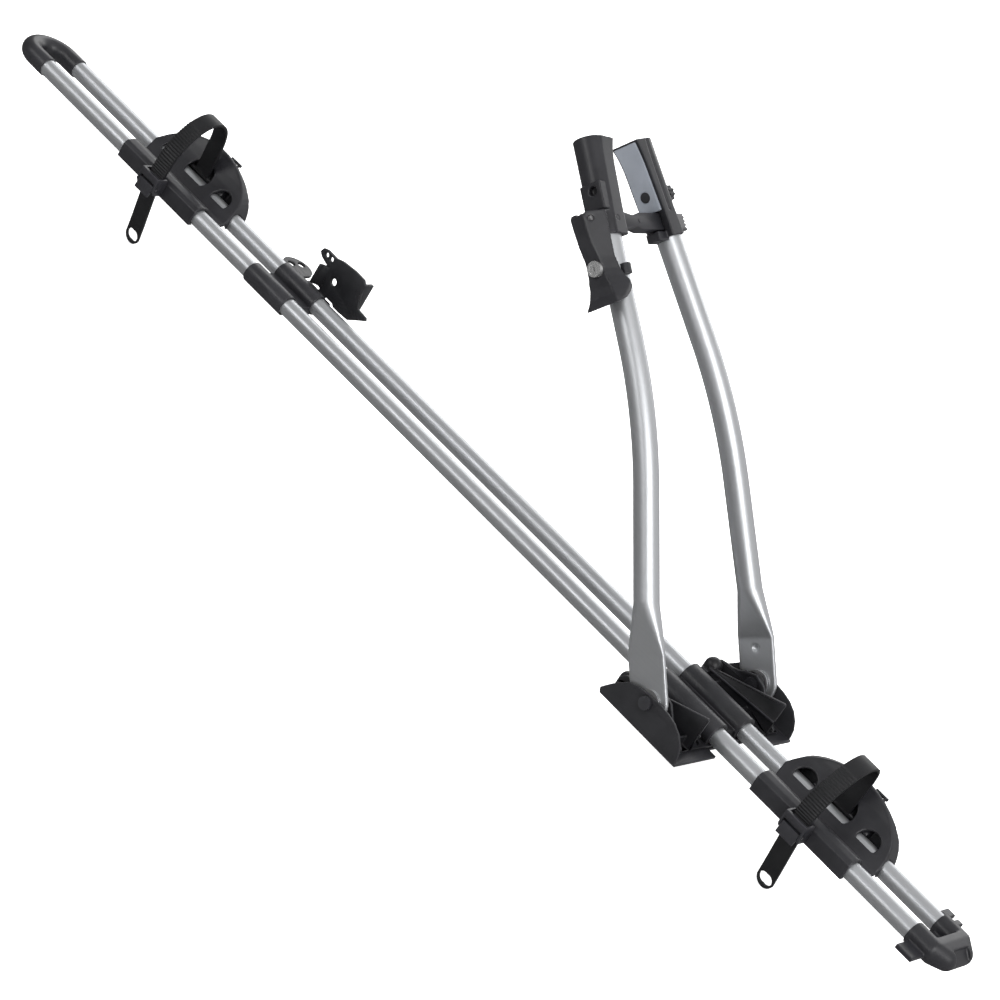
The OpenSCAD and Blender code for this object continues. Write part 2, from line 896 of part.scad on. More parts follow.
// The flattened foot of the arm and its change to the round tube
module arm_foot() {
    arm_frame()
        translate([0, blade_y, 0]) {
            bar_y(-blade_t / 2, blade_t / 2, blade_w / 2);
            translate([-47, -blade_t / 2, -blade_w / 2 + 0.02])
                cube([47, blade_t, blade_w - 0.04]);
        }
    hull() {
        arm_frame()
            translate([-46, blade_y - blade_t / 2 + arm_lap, -blade_w / 2 + arm_lap])
                cube([1.5, blade_t - 2 * arm_lap, blade_w - 2 * arm_lap]);
        tilt_frame()
            translate([-52, 0, 0])
                rotate([0, 90, 0])
                    cylinder(r = arm_r - 4 * arm_lap, h = 2, $fn = 32);
    }
}

module arm_tube() {
    color(alu)
        difference() {
            union() {
                arm_foot();
                tilt_frame()
                    arm_run();
            }
            arm_frame()
                translate([0, blade_y, 0])
                    bar_y(-10, 10, hub_r + move_gap);
            arm_frame()
                translate([-35, blade_y, 0])
                    bar_y(-10, blade_t / 2 - 1.5, 3.5);
        }
}

module right_arm() arm_tube();

module left_arm() left_side() arm_tube();

// Jaws: in the head frame X runs up the jaw, Y outward and Z along the bicycle's frame tube

// The inner face of a jaw, and of the back of its pad, at a height up the jaw: it hooks inward at the top
function face_at(u) = -13 - max(0, u - pad_u) * face_k
    - hook_h * pow(max(0, u - jaw_l + hook_l) / hook_l, 2);

// How much wider a jaw is at a height, near its top
function fan_at(u) = fan_h * pow(max(0, u - jaw_l + fan_l) / fan_l, 2);

// Heights from u0 to u1 at which the hook is drawn
function hook_steps(u0, u1) =
    let (h = min(jaw_l - hook_l, u1 - 6))
    concat([u0], [for (k = [0:6]) h + k * (u1 - h) / 6]);

// The outline of half width n across the frame tube, wider at the top, through all depths
module fanned(n, u0, u1) {
    us = hook_steps(u0, u1);
    rotate([-90, 0, 0])
        linear_extrude(height = 100, center = true)
            polygon(concat(
                [for (u = us) [u, -n - fan_at(u)]],
                [for (i = [len(us) - 1:-1:0]) [us[i], n + fan_at(us[i])]]));
}

module jaw_block(bolt_end) {
    difference() {
        union() {
            bar_x(0, jaw_l, jaw_n);
            intersection() {
                linear_extrude(height = 80, center = true)
                    polygon([[0, -32], [jaw_l, -32], [jaw_l, 1], [0, 7]]);
                fanned(jaw_n, -1, jaw_l + 1);
            }
        }
        linear_extrude(height = 90, center = true)
            polygon(concat(
                [[-5, -13]],
                [for (u = hook_steps(pad_u, jaw_l + 3)) [u, face_at(u)]],
                [[jaw_l + 3, -40], [-5, -40]]));
        bar_x(-1, 4.05, arm_r + fixed_gap);
        translate([bolt_u, 0, 0])
            bar_y(-30, bolt_end, 3 + fixed_gap);
    }
}

module jaw_pad_r() {
    us = hook_steps(pad_u, pad_u + pad_l);
    ts = [for (u = us) (u - pad_u) / pad_l];
    color(grey)
        head_frame()
            difference() {
                intersection() {
                    linear_extrude(height = 60, center = true)
                        polygon(concat(
                            [for (u = us) [u, face_at(u) - fixed_gap]],
                            [for (i = [len(us) - 1:-1:0])
                                [us[i], face_at(us[i]) - 3.4 + 1.6 * ts[i] * (1.1 - ts[i])]]));
                    fanned(pad_w / 2, pad_u - 1, pad_u + pad_l + 1);
                }
                translate([bolt_u, 0, 0])
                    bar_y(-30, 30, 5.6);
            }
}

module right_jaw_pad() jaw_pad_r();

module left_jaw_pad() left_side() jaw_pad_r();

// The way through a jaw for the link, from y0 to y1
module link_way(y0, y1) {
    mid_frame()
        translate([link_u - link_h / 2 - link_gap, y0, -link_n / 2 - 0.5])
            cube([link_h + 2 * link_gap, y1 - y0, link_n + 1]);
}

module right_jaw() {
    color(black)
        difference() {
            union() {
                head_frame()
                    jaw_block(30);
                mid_frame()
                    translate([-4, jaw_y - 28, -8])
                        cube([9.2, 18, 16]);
            }
            link_way(0, jaw_y + 47);
            head_frame()
                bar_x(-40, 4.05, arm_r + fixed_gap);
            head_frame()
                difference() {
                    translate([26, -5.4, -30])
                        cube([jaw_l, 3, 60]);
                    fanned(jaw_n - 1.5, 0, jaw_l + 40);
                }
        }
}

module left_jaw() {
    color(black)
        difference() {
            left_side()
                head_frame()
                    difference() {
                        union() {
                            jaw_block(9);
                            translate([25, 8, -10.5])
                                cube([28.5, 9.4, 24.5]);
                            translate([0, 0, lug_z0])
                                linear_extrude(height = lug_w)
                                    polygon([[5, 8], [20, 8], [18.5, 22], [18.5, 30], [11.5, 30], [8, 18]]);
                            translate([lever_u, lever_v, lug_z0])
                                cylinder(r = 4.2, h = lug_w);
                        }
                        translate([lever_u, lever_v, 0])
                            cylinder(r = head_pin_r + 0.02, h = 60, center = true);
                        translate([bolt_u, 0, 4])
                            bar_y(11, 40, 4.8);
                    }
            link_way(link_y0 - 9.5, 0);
            mid_frame()
                translate([link_u, link_y0, 0])
                    cylinder(r = head_pin_r + 0.02, h = 60, center = true);
        }
}

module pad_bolt_r(nut) {
    color(steel_black)
        head_frame()
            translate([bolt_u, 0, 0]) {
                bar_y(-16.5, nut > 0 ? jaw_n + nut : 7.6, 3);
                bar_y(-16.6, -14.15, 5.4);
                if (nut > 0)
                    difference() {
                        bar_y(jaw_n + 0.1, jaw_n + 0.1 + nut, wheel_r);
                        for (k = [0:11])
                            rotate([0, 30 * k, 0])
                                translate([wheel_r + 0.8, 0, 0])
                                    bar_y(10, 40, 2.1);
                    }
            }
}

module right_pad_bolt() pad_bolt_r(8);

module left_pad_bolt() left_side() pad_bolt_r(0);

// Link between the jaws, level with the tray at rest

module jaw_link() {
    u0 = link_u - link_h / 2;
    u1 = link_u + link_h / 2;
    color(black)
        mid_frame()
            difference() {
                linear_extrude(height = link_n, center = true)
                    polygon(concat(
                        [[u0, link_y0], [u0, -22], [u0 + 2.4, -12], [u0 + 2.4, -6], [u0, 2],
                         [u0, link_y1 - 1]],
                        [for (k = [0:7]) [u0 + 2 + 2 * k, link_y1 - (k % 2) * 3]],
                        [[u1, link_y1 - 1], [u1, 2], [u1 - 2.4, -6], [u1 - 2.4, -12],
                         [u1, -22], [u1, link_y0], [u1 - 3, link_y0 - 6], [u0 + 3, link_y0 - 6]]));
                translate([link_u, link_y0, 0])
                    cylinder(r = head_pin_r + run_gap, h = 60, center = true);
            }
}

module link_pin() {
    color(bright)
        mid_frame()
            translate([link_u, link_y0, 0])
                cylinder(r = head_pin_r, h = 2 * jaw_n - 0.4, center = true);
}

// Lever on the outside of the left jaw, with its lock

lever_side = [
    [22.5, 18], [22.5, 36], [18, 39], [6, 37], [-10, 33.5], [-24, 28.5], [-40, 25], [-53, 25], [-64, 29],
    [-76, 37], [-74, 30], [-69, 18], [-62, 9], [-56, 4], [-46, 7.5], [-33, 11.2], [-21, 14.4], [0, 16.6]
];
lever_front = [
    [28, -15], [28, 15], [-28, 15.4], [-46, 18.4], [-80, 19.5], [-80, -19.5], [-46, -18.4], [-28, -15.4]
];

module lever_frame() {
    left_side()
        head_frame()
            children();
}

// The crease of the lever, as heights above its root across a slanted cut
crease_lean = 55;
crease = [
    [45, 26.5], [28, 24.9], [19, 23.4], [-10, 19.7], [-24, 17.9], [-36, 16.8], [-44, 17.4], [-52, 19.8],
    [-60, 23.8], [-68, 29], [-76, 36], [-95, 54], [-95, 90], [45, 90]
];

module clamp_lever() {
    color(black)
        lever_frame()
            difference() {
                intersection() {
                    linear_extrude(height = 60, center = true)
                        polygon(lever_side);
                    rotate([-90, 0, 0])
                        linear_extrude(height = 60)
                            polygon([for (p = lever_front) [p[0], -p[1]]]);
                }
                bar_x(-90, 40, arm_r + 0.9);
                rotate([crease_lean, 0, 0])
                    linear_extrude(height = 160, center = true)
                        polygon(crease);
                translate([0, 0, lug_z0 - 0.4])
                    linear_extrude(height = lug_w + 0.8)
                        polygon([[45, -5], [45, lever_v + 4.7],
                                 [lever_u - 4.7, lever_v + 4.7], [8.6, 26], [6.5, 20], [4, -5]]);
                translate([lever_u, lever_v, 0])
                    cylinder(r = head_pin_r + run_gap, h = 60, center = true);
                translate([lock_u, 0, lock_n])
                    bar_y(10, 60, lock_r + fixed_gap);
            }
}

module lever_pin() {
    color(bright)
        lever_frame()
            translate([lever_u, lever_v, -14.6])
                cylinder(r = head_pin_r, h = 20.3);
}

module lock_collar() {
    color(bright)
        lever_frame()
            translate([lock_u, 0, lock_n])
                difference() {
                    bar_y(20, 30, lock_r);
                    bar_y(10, 40, lock_r - 2.2);
                }
}

module lock_core() {
    color(bright)
        lever_frame()
            translate([lock_u, 0, lock_n])
                difference() {
                    bar_y(17, 29.4, lock_r - 2.2 - run_gap);
                    translate([-3.2, 26, -0.7])
                        cube([6.4, 10, 1.4]);
                }
}

module lock_catch() {
    color(black)
        lever_frame()
            difference() {
                translate([-43, 0, 9.5])
                    cube([11.5, 7.4, 9.5]);
                bar_x(-60, 0, arm_r + fixed_gap);
                translate([-37, 8.4, 20])
                    rotate([45, 0, 0])
                        cube([30, 8, 8], center = true);
            }
}

left_tube();
right_tube();
rear_end_cap();
front_end_cap();
rear_wheel_holder();
front_wheel_holder();
rear_wheel_strap();
front_wheel_strap();
rear_buckle();
front_buckle();
rear_buckle_pawl();
front_buckle_pawl();
rear_buckle_pin();
front_buckle_pin();
rear_strap_keeper();
front_strap_keeper();
rear_foot();
foot_bracket();
foot_pad();
rear_claw();
claw_pin();
base_cradle();
base_body();
base_screws();
left_pivot_bolt();
right_pivot_bolt();
left_pivot_bush();
right_pivot_bush();
left_pivot_washer();
right_pivot_washer();
left_arm();
right_arm();
left_jaw();
right_jaw();
left_jaw_pad();
right_jaw_pad();
left_pad_bolt();
right_pad_bolt();
jaw_link();
link_pin();
clamp_lever();
lever_pin();
lock_collar();
lock_core();
lock_catch();
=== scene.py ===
import json
import math

import bmesh
import bpy
from mathutils import Matrix, Vector


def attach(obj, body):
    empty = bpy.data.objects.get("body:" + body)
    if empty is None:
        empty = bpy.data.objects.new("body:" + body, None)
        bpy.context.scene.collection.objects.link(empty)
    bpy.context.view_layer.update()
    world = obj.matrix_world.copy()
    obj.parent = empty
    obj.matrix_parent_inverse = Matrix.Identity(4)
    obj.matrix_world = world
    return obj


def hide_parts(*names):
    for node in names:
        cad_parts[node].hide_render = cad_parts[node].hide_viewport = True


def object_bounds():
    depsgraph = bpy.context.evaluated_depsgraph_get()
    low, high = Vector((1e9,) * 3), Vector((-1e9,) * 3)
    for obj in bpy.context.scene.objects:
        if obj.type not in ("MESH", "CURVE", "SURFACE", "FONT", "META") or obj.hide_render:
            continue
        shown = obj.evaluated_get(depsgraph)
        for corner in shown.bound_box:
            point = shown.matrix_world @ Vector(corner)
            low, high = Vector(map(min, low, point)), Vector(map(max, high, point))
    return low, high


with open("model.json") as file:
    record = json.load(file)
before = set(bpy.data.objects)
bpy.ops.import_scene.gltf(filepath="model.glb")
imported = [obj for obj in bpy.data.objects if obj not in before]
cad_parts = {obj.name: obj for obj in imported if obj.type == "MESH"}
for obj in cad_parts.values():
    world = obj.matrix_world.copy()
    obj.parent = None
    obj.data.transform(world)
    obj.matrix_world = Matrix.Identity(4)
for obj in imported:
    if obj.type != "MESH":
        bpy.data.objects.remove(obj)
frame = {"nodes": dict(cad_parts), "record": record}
CAD_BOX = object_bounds()

bl_info = {
    "name": "Roof Bike Carrier Dresser",
    "version": (1, 0, 0),
    "blender": (4, 5, 0),
    "location": "3D View > Sidebar > Carrier",
    "description": "Finishes, rounded mouldings, a small mark and the studio of a roof bike carrier",
    "category": "Object",
}


class CarrierFinishes(bpy.types.PropertyGroup):
    """Colours and surface values of the carrier's finishes"""

    moulding: bpy.props.FloatVectorProperty(
        name="Moulding", description="Colour of the black mouldings", subtype="COLOR", size=3,
        min=0, max=1, default=(0.0142, 0.0142, 0.0168))
    strap: bpy.props.FloatVectorProperty(
        name="Strap", description="Colour of the wheel straps", subtype="COLOR", size=3,
        min=0, max=1, default=(0.0065, 0.0066, 0.0076))
    body: bpy.props.FloatVectorProperty(
        name="Base moulding", description="Colour of the base's moulding", subtype="COLOR", size=3,
        min=0, max=1, default=(0.0075, 0.0075, 0.0087))
    powder: bpy.props.FloatVectorProperty(
        name="Powder coat", description="Colour of the coated steel", subtype="COLOR", size=3,
        min=0, max=1, default=(0.0125, 0.0126, 0.0145))
    tube: bpy.props.FloatVectorProperty(
        name="Tube", description="Colour of the anodised tubes", subtype="COLOR", size=3,
        min=0, max=1, default=(0.56, 0.572, 0.59))
    zinc: bpy.props.FloatVectorProperty(
        name="Zinc", description="Colour of the plated fasteners", subtype="COLOR", size=3,
        min=0, max=1, default=(0.66, 0.66, 0.67))
    nickel: bpy.props.FloatVectorProperty(
        name="Nickel", description="Colour of the lock", subtype="COLOR", size=3,
        min=0, max=1, default=(0.70, 0.70, 0.70))
    pad: bpy.props.FloatVectorProperty(
        name="Pad", description="Colour of the jaw pads", subtype="COLOR", size=3,
        min=0, max=1, default=(0.19, 0.206, 0.235))
    edge: bpy.props.FloatProperty(
        name="Edge radius", description="Radius of a moulded edge", subtype="DISTANCE", unit="LENGTH",
        min=0.0001, max=0.003, precision=5, default=0.0008)


class CarrierStudio(bpy.types.PropertyGroup):
    """Floor, light and lens"""

    floor: bpy.props.FloatVectorProperty(
        name="Floor", description="Colour of the floor", subtype="COLOR", size=3,
        min=0, max=1, default=(0.93, 0.93, 0.93))
    daylight: bpy.props.FloatProperty(
        name="Surround", description="Strength of the light from all round", min=0, max=5, default=0.6)
    backlight: bpy.props.FloatProperty(
        name="Floor light", description="Light that the floor paper lets through", min=0, max=2,
        default=0.65)
    key: bpy.props.FloatProperty(
        name="Key light", description="Power of the main soft light", subtype="POWER", unit="POWER",
        min=0, max=2000, default=60)
    lens: bpy.props.FloatProperty(
        name="Lens", description="Focal length in millimetres on a 36 mm sensor", min=20, max=300,
        default=122.11)


# Finishes

# The part of a noise's spread that is carried into a colour or a value
NOISE_LOW = 0.3
NOISE_HIGH = 0.7

# Pointiness of a corner that starts to be painted paler, as rubbed wear and as a painted edge highlight,
# and of one that is fully paler
RUB_HIGHLIGHT_START = 0.52
RUB_HIGHLIGHT_FULL = 0.62

# Lean of the photographed arms, along which their metal is drawn
ARM_LEAN = math.radians(41)


def new_finish(name):
    """A material, its link function, its shader and a function that adds a node"""
    mat = bpy.data.materials.new(name)
    mat.use_nodes = True
    tree = mat.node_tree
    shader = tree.nodes["Principled BSDF"]

    def add(kind, **values):
        node = tree.nodes.new(kind)
        for key, value in values.items():
            if key in node.inputs:
                node.inputs[key].default_value = value
            else:
                setattr(node, key, value)
        return node

    return mat, tree.links.new, shader, add


def placed(add, link, scale=(1, 1, 1), turn=(0, 0, 0)):
    """Object coordinates through a Mapping node"""
    coord = add("ShaderNodeTexCoord")
    mapping = add("ShaderNodeMapping", Scale=scale, Rotation=turn)
    link(coord.outputs["Object"], mapping.inputs["Vector"])
    return mapping.outputs["Vector"]


def tinted(add, link, factor, colour, low, high):
    """A colour that varies between two brightnesses of itself"""
    ramp = add("ShaderNodeValToRGB")
    elements = ramp.color_ramp.elements
    elements[0].position = NOISE_LOW
    elements[1].position = NOISE_HIGH
    elements[0].color = (*[c * low for c in colour], 1)
    elements[1].color = (*[min(1, c * high) for c in colour], 1)
    link(factor, ramp.inputs["Fac"])
    return ramp.outputs["Color"]


def ranged(add, link, factor, low, high, start=NOISE_LOW, end=NOISE_HIGH):
    """A value carried from one range into another"""
    node = add("ShaderNodeMapRange")
    node.inputs["From Min"].default_value = start
    node.inputs["From Max"].default_value = end
    node.inputs["To Min"].default_value = low
    node.inputs["To Max"].default_value = high
    link(factor, node.inputs["Value"])
    return node.outputs["Result"]


def rubbed_and_highlit(add, link, colour, gain):
    """A colour painted paler where the surface turns a sharp corner, partly rubbed wear and partly a
    painted edge highlight
    """
    shape = add("ShaderNodeNewGeometry")
    rub_and_highlight = ranged(add, link, shape.outputs["Pointiness"], 1.0, gain, RUB_HIGHLIGHT_START, RUB_HIGHLIGHT_FULL)
    paler = add("ShaderNodeVectorMath", operation="SCALE")
    link(colour, paler.inputs[0])
    link(rub_and_highlight, paler.inputs["Scale"])
    return paler.outputs["Vector"]


def grained(name, colour, rough, grain, depth, spread=(0.82, 1.2), specular=0.5, rub_and_highlight=1.0):
    """A moulded or coated surface: cloudy colour, uneven sheen and a fine grain"""
    mat, link, shader, add = new_finish(name)
    where = placed(add, link)
    cloud = add("ShaderNodeTexNoise", Scale=38.0, Detail=4.0, Roughness=0.6)
    fine = add("ShaderNodeTexNoise", Scale=grain, Detail=3.0, Roughness=0.55)
    link(where, cloud.inputs["Vector"])
    link(where, fine.inputs["Vector"])
    paint = tinted(add, link, cloud.outputs["Fac"], colour, *spread)
    # Sharp corners are painted paler here: partly rubbed wear, partly a painted edge highlight
    link(rubbed_and_highlit(add, link, paint, rub_and_highlight) if rub_and_highlight > 1 else paint, shader.inputs["Base Color"])
    link(ranged(add, link, cloud.outputs["Fac"], rough - 0.05, rough + 0.06), shader.inputs["Roughness"])
    bump = add("ShaderNodeBump", Strength=depth, Distance=0.0003)
    link(fine.outputs["Fac"], bump.inputs["Height"])
    link(bump.outputs["Normal"], shader.inputs["Normal"])
    shader.inputs["Specular IOR Level"].default_value = specular
    return mat


def drawn_metal(name, colour, rough, turn=(0, 0, 0), stretch=(4, 420, 420), depth=0.05, metal=1.0):
    """A metal with fine lines along its length"""
    mat, link, shader, add = new_finish(name)
    along = placed(add, link, scale=stretch, turn=turn)
    lines = add("ShaderNodeTexNoise", Scale=1.0, Detail=5.0, Roughness=0.65)
    link(along, lines.inputs["Vector"])
    cloud = add("ShaderNodeTexNoise", Scale=9.0, Detail=2.0, Roughness=0.5)
    link(placed(add, link), cloud.inputs["Vector"])
    link(tinted(add, link, lines.outputs["Fac"], colour, 0.98, 1.02), shader.inputs["Base Color"])
    link(ranged(add, link, cloud.outputs["Fac"], rough - 0.03, rough + 0.05), shader.inputs["Roughness"])
    bump = add("ShaderNodeBump", Strength=depth, Distance=0.0002)
    link(lines.outputs["Fac"], bump.inputs["Height"])
    link(bump.outputs["Normal"], shader.inputs["Normal"])
    shader.inputs["Metallic"].default_value = metal
    return mat


FINISH = {}


def make_finishes(values):
    """Every finish of the carrier, by name"""
    # The rub values paint corners paler, as rubbed wear and as a painted edge highlight
    FINISH.update(
        moulding=grained(
            "moulding_black", values.moulding, rough=0.37, grain=1500, depth=0.1, rub_and_highlight=1.7),
        body=grained(
            "base_black", values.body, rough=0.38, grain=1500, depth=0.1, specular=0.42, rub_and_highlight=5),
        strap=grained(
            "strap_black", values.strap, rough=0.5, grain=900, depth=0.16, specular=0.4),
        powder=grained(
            "powder_coat", values.powder, rough=0.42, grain=700, depth=0.22, specular=0.4, rub_and_highlight=1.8),
        pad=grained(
            "pad_grey", values.pad, rough=0.62, grain=1100, depth=0.2, spread=(0.94, 1.05)),
        seat=grained(
            "seat_rubber", (0.02, 0.02, 0.02), rough=0.7, grain=800, depth=0.3),
        tray_tube=drawn_metal(
            "tray_tube_satin", values.tube, rough=0.4, depth=0.004, metal=0.9),
        arm_tube=drawn_metal(
            "arm_tube_satin", values.tube, rough=0.4, turn=(0, -ARM_LEAN, 0), depth=0.004, metal=0.9),
        zinc=drawn_metal(
            "zinc_plate", values.zinc, rough=0.34, stretch=(160, 160, 160)),
        nickel=drawn_metal(
            "nickel_bright", values.nickel, rough=0.2, stretch=(90, 90, 90), depth=0.0, metal=0.85),
    )


# Building

# Points of a CAD node that lie this near are one point
WELD = 2e-6

# Faces that meet at less than this angle are one flat face
FLAT = math.radians(0.6)


def keep(bm, name, body, finish, smooth=38, stands_for=()):
    """Turns a bmesh into a piece that rides on a body, shaded smooth up to an angle in degrees"""
    mesh = bpy.data.meshes.new(name)
    bm.normal_update()
    bm.to_mesh(mesh)
    bm.free()
    mesh.shade_smooth()
    mesh.set_sharp_from_angle(angle=math.radians(smooth))
    mesh.materials.append(FINISH[finish])
    piece = bpy.data.objects.new(name, mesh)
    bpy.context.scene.collection.objects.link(piece)
    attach(piece, body)
    if stands_for:
        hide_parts(*stands_for)
    return piece


def body_of(node):
    """The body that a CAD node belongs to"""
    for body, members in frame["record"]["behaviour"]["bodies"].items():
        if node in members:
            return body
    raise RuntimeError("no body holds " + node)


def merged(node):
    """A copy of a CAD node as a closed mesh of flat faces"""
    bm = bmesh.new()
    bm.from_mesh(frame["nodes"][node].data)
    bmesh.ops.remove_doubles(bm, verts=bm.verts, dist=WELD)
    bmesh.ops.dissolve_limit(bm, angle_limit=FLAT, verts=bm.verts, edges=bm.edges)
    return bm


def rounded(node, finish, radius, steps=2, sharp=30):
    """A CAD node with its sharp edges rounded over"""
    bm = merged(node)
    limit = math.radians(sharp)
    edges = []
    for edge in bm.edges:
        if len(edge.link_faces) == 2 and edge.calc_face_angle() > limit:
            edges.append(edge)
    bmesh.ops.bevel(
        bm, geom=edges, offset=radius, offset_type="OFFSET", affect="EDGES", segments=steps,
        profile=0.5, material=-1, clamp_overlap=False)
    keep(bm, node + "_round", body_of(node), finish, stands_for=(node,))


def softened(node, finish, grain, passes):
    """A CAD node with every edge worn to a soft round, by a fine even skin that is then relaxed"""
    piece = keep(
        merged(node), node + "_soft", body_of(node), finish, smooth=180, stands_for=(node,))
    skin = piece.modifiers.new("skin", "REMESH")
    skin.mode = "VOXEL"
    skin.voxel_size = grain
    skin.use_smooth_shade = True
    relax = piece.modifiers.new("relax", "SMOOTH")
    relax.factor = 0.5
    relax.iterations = passes


def coat(node, finish):
    """Gives a CAD node that keeps its own shape its finish"""
    mesh = frame["nodes"][node].data
    mesh.materials.clear()
    mesh.materials.append(FINISH[finish])


class CARRIER_OT_tray(bpy.types.Operator):
    """Finish the tray tubes and soften the end caps"""

    bl_idname = "carrier.tray"
    bl_label = "Tray"

    def execute(self, context):
        edge = context.scene.carrier_finishes.edge
        coat("left_tube", "tray_tube")
        coat("right_tube", "tray_tube")
        rounded("rear_end_cap", "moulding", edge)
        softened("front_end_cap", "moulding", edge, passes=14)
        return {"FINISHED"}


class CARRIER_OT_wheel_holders(bpy.types.Operator):
    """Soften the wheel holders, straps and buckles and finish their pins and keepers"""

    bl_idname = "carrier.wheel_holders"
    bl_label = "Wheel holders"

    def execute(self, context):
        edge = context.scene.carrier_finishes.edge
        for end in ("rear", "front"):
            softened(end + "_wheel_holder", "moulding", 1.2 * edge, passes=6)
            rounded(end + "_wheel_strap", "strap", 0.25 * edge, steps=1, sharp=50)
            rounded(end + "_buckle", "moulding", 0.6 * edge)
            rounded(end + "_buckle_pawl", "moulding", 0.5 * edge)
            coat(end + "_buckle_pin", "zinc")
            coat(end + "_strap_keeper", "powder")
        return {"FINISHED"}


class CARRIER_OT_rear_foot(bpy.types.Operator):
    """Round the rear foot, its bracket and its claw and finish its pad and pin"""

    bl_idname = "carrier.rear_foot"
    bl_label = "Rear foot"

    def execute(self, context):
        edge = context.scene.carrier_finishes.edge
        rounded("rear_foot", "moulding", edge)
        rounded("foot_bracket", "powder", 0.6 * edge)
        rounded("rear_claw", "powder", edge)
        coat("foot_pad", "seat")
        coat("claw_pin", "zinc")
        return {"FINISHED"}


class CARRIER_OT_base(bpy.types.Operator):
    """Round the base cradle and body and finish the fold pivots"""

    bl_idname = "carrier.base"
    bl_label = "Base"

    def execute(self, context):
        edge = context.scene.carrier_finishes.edge
        rounded("base_cradle", "powder", 0.6 * edge)
        rounded("base_body", "body", edge)
        coat("base_screws", "zinc")
        for side in ("left", "right"):
            coat(side + "_pivot_bolt", "powder")
            coat(side + "_pivot_bush", "zinc")
            coat(side + "_pivot_washer", "zinc")
        return {"FINISHED"}


class CARRIER_OT_arms(bpy.types.Operator):
    """Soften and finish the arms"""

    bl_idname = "carrier.arms"
    bl_label = "Arms"

    def execute(self, context):
        edge = context.scene.carrier_finishes.edge
        for side in ("left", "right"):
            softened(side + "_arm", "arm_tube", 1.4 * edge, passes=14)
        return {"FINISHED"}


def link_mark(radius, height):
    """The small round moulding mark in the middle of the link's front face"""
    swing = next(j for j in frame["record"]["behaviour"]["joints"] if j["name"] == "link_swing")
    face = Vector(swing["axis"])
    half_link = 0.0065
    place = Vector((swing["pos_m"][0], 0, swing["pos_m"][2])) + half_link * face
    bm = bmesh.new()
    bmesh.ops.create_cone(
        bm, cap_ends=True, segments=32, radius1=radius, radius2=0.8 * radius, depth=2 * height)
    bmesh.ops.transform(bm, matrix=face.to_track_quat("Z", "Y").to_matrix().to_4x4(), verts=bm.verts)
    bmesh.ops.translate(bm, vec=place, verts=bm.verts)
    keep(bm, "link_mark", "link", "moulding")


class CARRIER_OT_head(bpy.types.Operator):
    """Soften the jaws, the pads, the link and the lever and finish the pins and the lock"""

    bl_idname = "carrier.head"
    bl_label = "Head"

    def execute(self, context):
        edge = context.scene.carrier_finishes.edge
        for side in ("left", "right"):
            softened(side + "_jaw", "moulding", 0.9 * edge, passes=8)
            rounded(side + "_jaw_pad", "pad", edge)
            coat(side + "_pad_bolt", "powder")
        rounded("jaw_link", "moulding", edge)
        softened("clamp_lever", "moulding", 0.9 * edge, passes=10)
        softened("lock_catch", "moulding", 0.5 * edge, passes=8)
        link_mark(radius=0.0024, height=0.0005)
        coat("link_pin", "powder")
        coat("lever_pin", "zinc")
        coat("lock_collar", "nickel")
        coat("lock_core", "nickel")
        return {"FINISHED"}


# Studio

FLOOR_REACH = 14
FLOOR_GAP = 0.0005

# Direction of the bright side of the surround, and the heights along it where it is dimmest and brightest
SKY_SIDE = (0.5, 0.47, 0.73)
SKY_DIM = -0.35
SKY_BRIGHT = 0.9

# The middle of the carrier, where the lights point
MIDDLE = (-0.35, 0, 0.1)

# Place and axes of the camera that took the photograph
CAMERA_PLACE = Vector((1.18939, -2.79546, 1.46358))
CAMERA_RIGHT = Vector((0.639169, 0.595740, 0.486371))
CAMERA_DOWN = Vector((0.636591, -0.054978, -0.769240))
CAMERA_AHEAD = Vector((-0.431528, 0.801293, -0.414383))
SENSOR_WIDTH = 36


def add_floor(scene, studio):
    """A pale sheet of paper under the carrier that lets some light through"""
    bm = bmesh.new()
    bmesh.ops.create_grid(bm, x_segments=2, y_segments=2, size=FLOOR_REACH)
    bmesh.ops.translate(bm, vec=(0, 0, CAD_BOX[0].z - FLOOR_GAP), verts=bm.verts)
    mesh = bpy.data.meshes.new("floor")
    bm.to_mesh(mesh)
    bm.free()
    paper = grained(
        "floor_paper", studio.floor, rough=0.8, grain=60, depth=0.02, spread=(0.99, 1.01), specular=0.1)
    glow = paper.node_tree.nodes["Principled BSDF"]
    glow.inputs["Emission Color"].default_value = (1, 1, 1, 1)
    glow.inputs["Emission Strength"].default_value = studio.backlight
    mesh.materials.append(paper)
    floor = bpy.data.objects.new("floor", mesh)
    floor.visible_glossy = False
    scene.collection.objects.link(floor)


def add_surround(scene, studio):
    """White light from all round that is dimmer on one side"""
    world = bpy.data.worlds.new("studio_surround")
    world.use_nodes = True
    tree = world.node_tree
    sky = tree.nodes["Background"]
    sky.inputs["Color"].default_value = (1, 1, 1, 1)
    coord = tree.nodes.new("ShaderNodeTexCoord")
    slope = tree.nodes.new("ShaderNodeVectorMath")
    slope.operation = "DOT_PRODUCT"
    slope.inputs[1].default_value = SKY_SIDE
    reach = tree.nodes.new("ShaderNodeMapRange")
    reach.inputs["From Min"].default_value = SKY_DIM
    reach.inputs["From Max"].default_value = SKY_BRIGHT
    reach.inputs["To Min"].default_value = 0.2 * studio.daylight
    reach.inputs["To Max"].default_value = studio.daylight
    tree.links.new(coord.outputs["Generated"], slope.inputs[0])
    tree.links.new(slope.outputs["Value"], reach.inputs["Value"])
    tree.links.new(reach.outputs["Result"], sky.inputs["Strength"])
    scene.world = world


